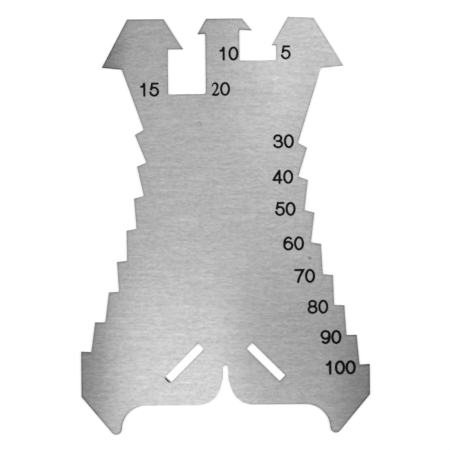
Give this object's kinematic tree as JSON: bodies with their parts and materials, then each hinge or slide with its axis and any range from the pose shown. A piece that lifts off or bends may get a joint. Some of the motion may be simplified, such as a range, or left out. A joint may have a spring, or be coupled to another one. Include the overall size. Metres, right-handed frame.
{
  "type": "tinsmith marking template",
  "caption": "Flat hardened steel scribing gauge: barbed heads over two square notches, toothed side ladders of stops, a slit base and slanted slots.",
  "frame": {"origin": "middle of the bounding box, on the face that the sheet lies on", "axes": "+Y along the sheet, towards its three heads; +Z out of the numbered face; +X to the right as the numbers are read"},
  "size_m": [0.0962, 0.1388, 0.001],
  "materials": {
    "brushed_steel": "hardened sheet, satin, with a fine brushed grain across its width"
  },
  "bodies": {
    "root": {"template_plate": "brushed_steel"}
  },
  "joints": []
}
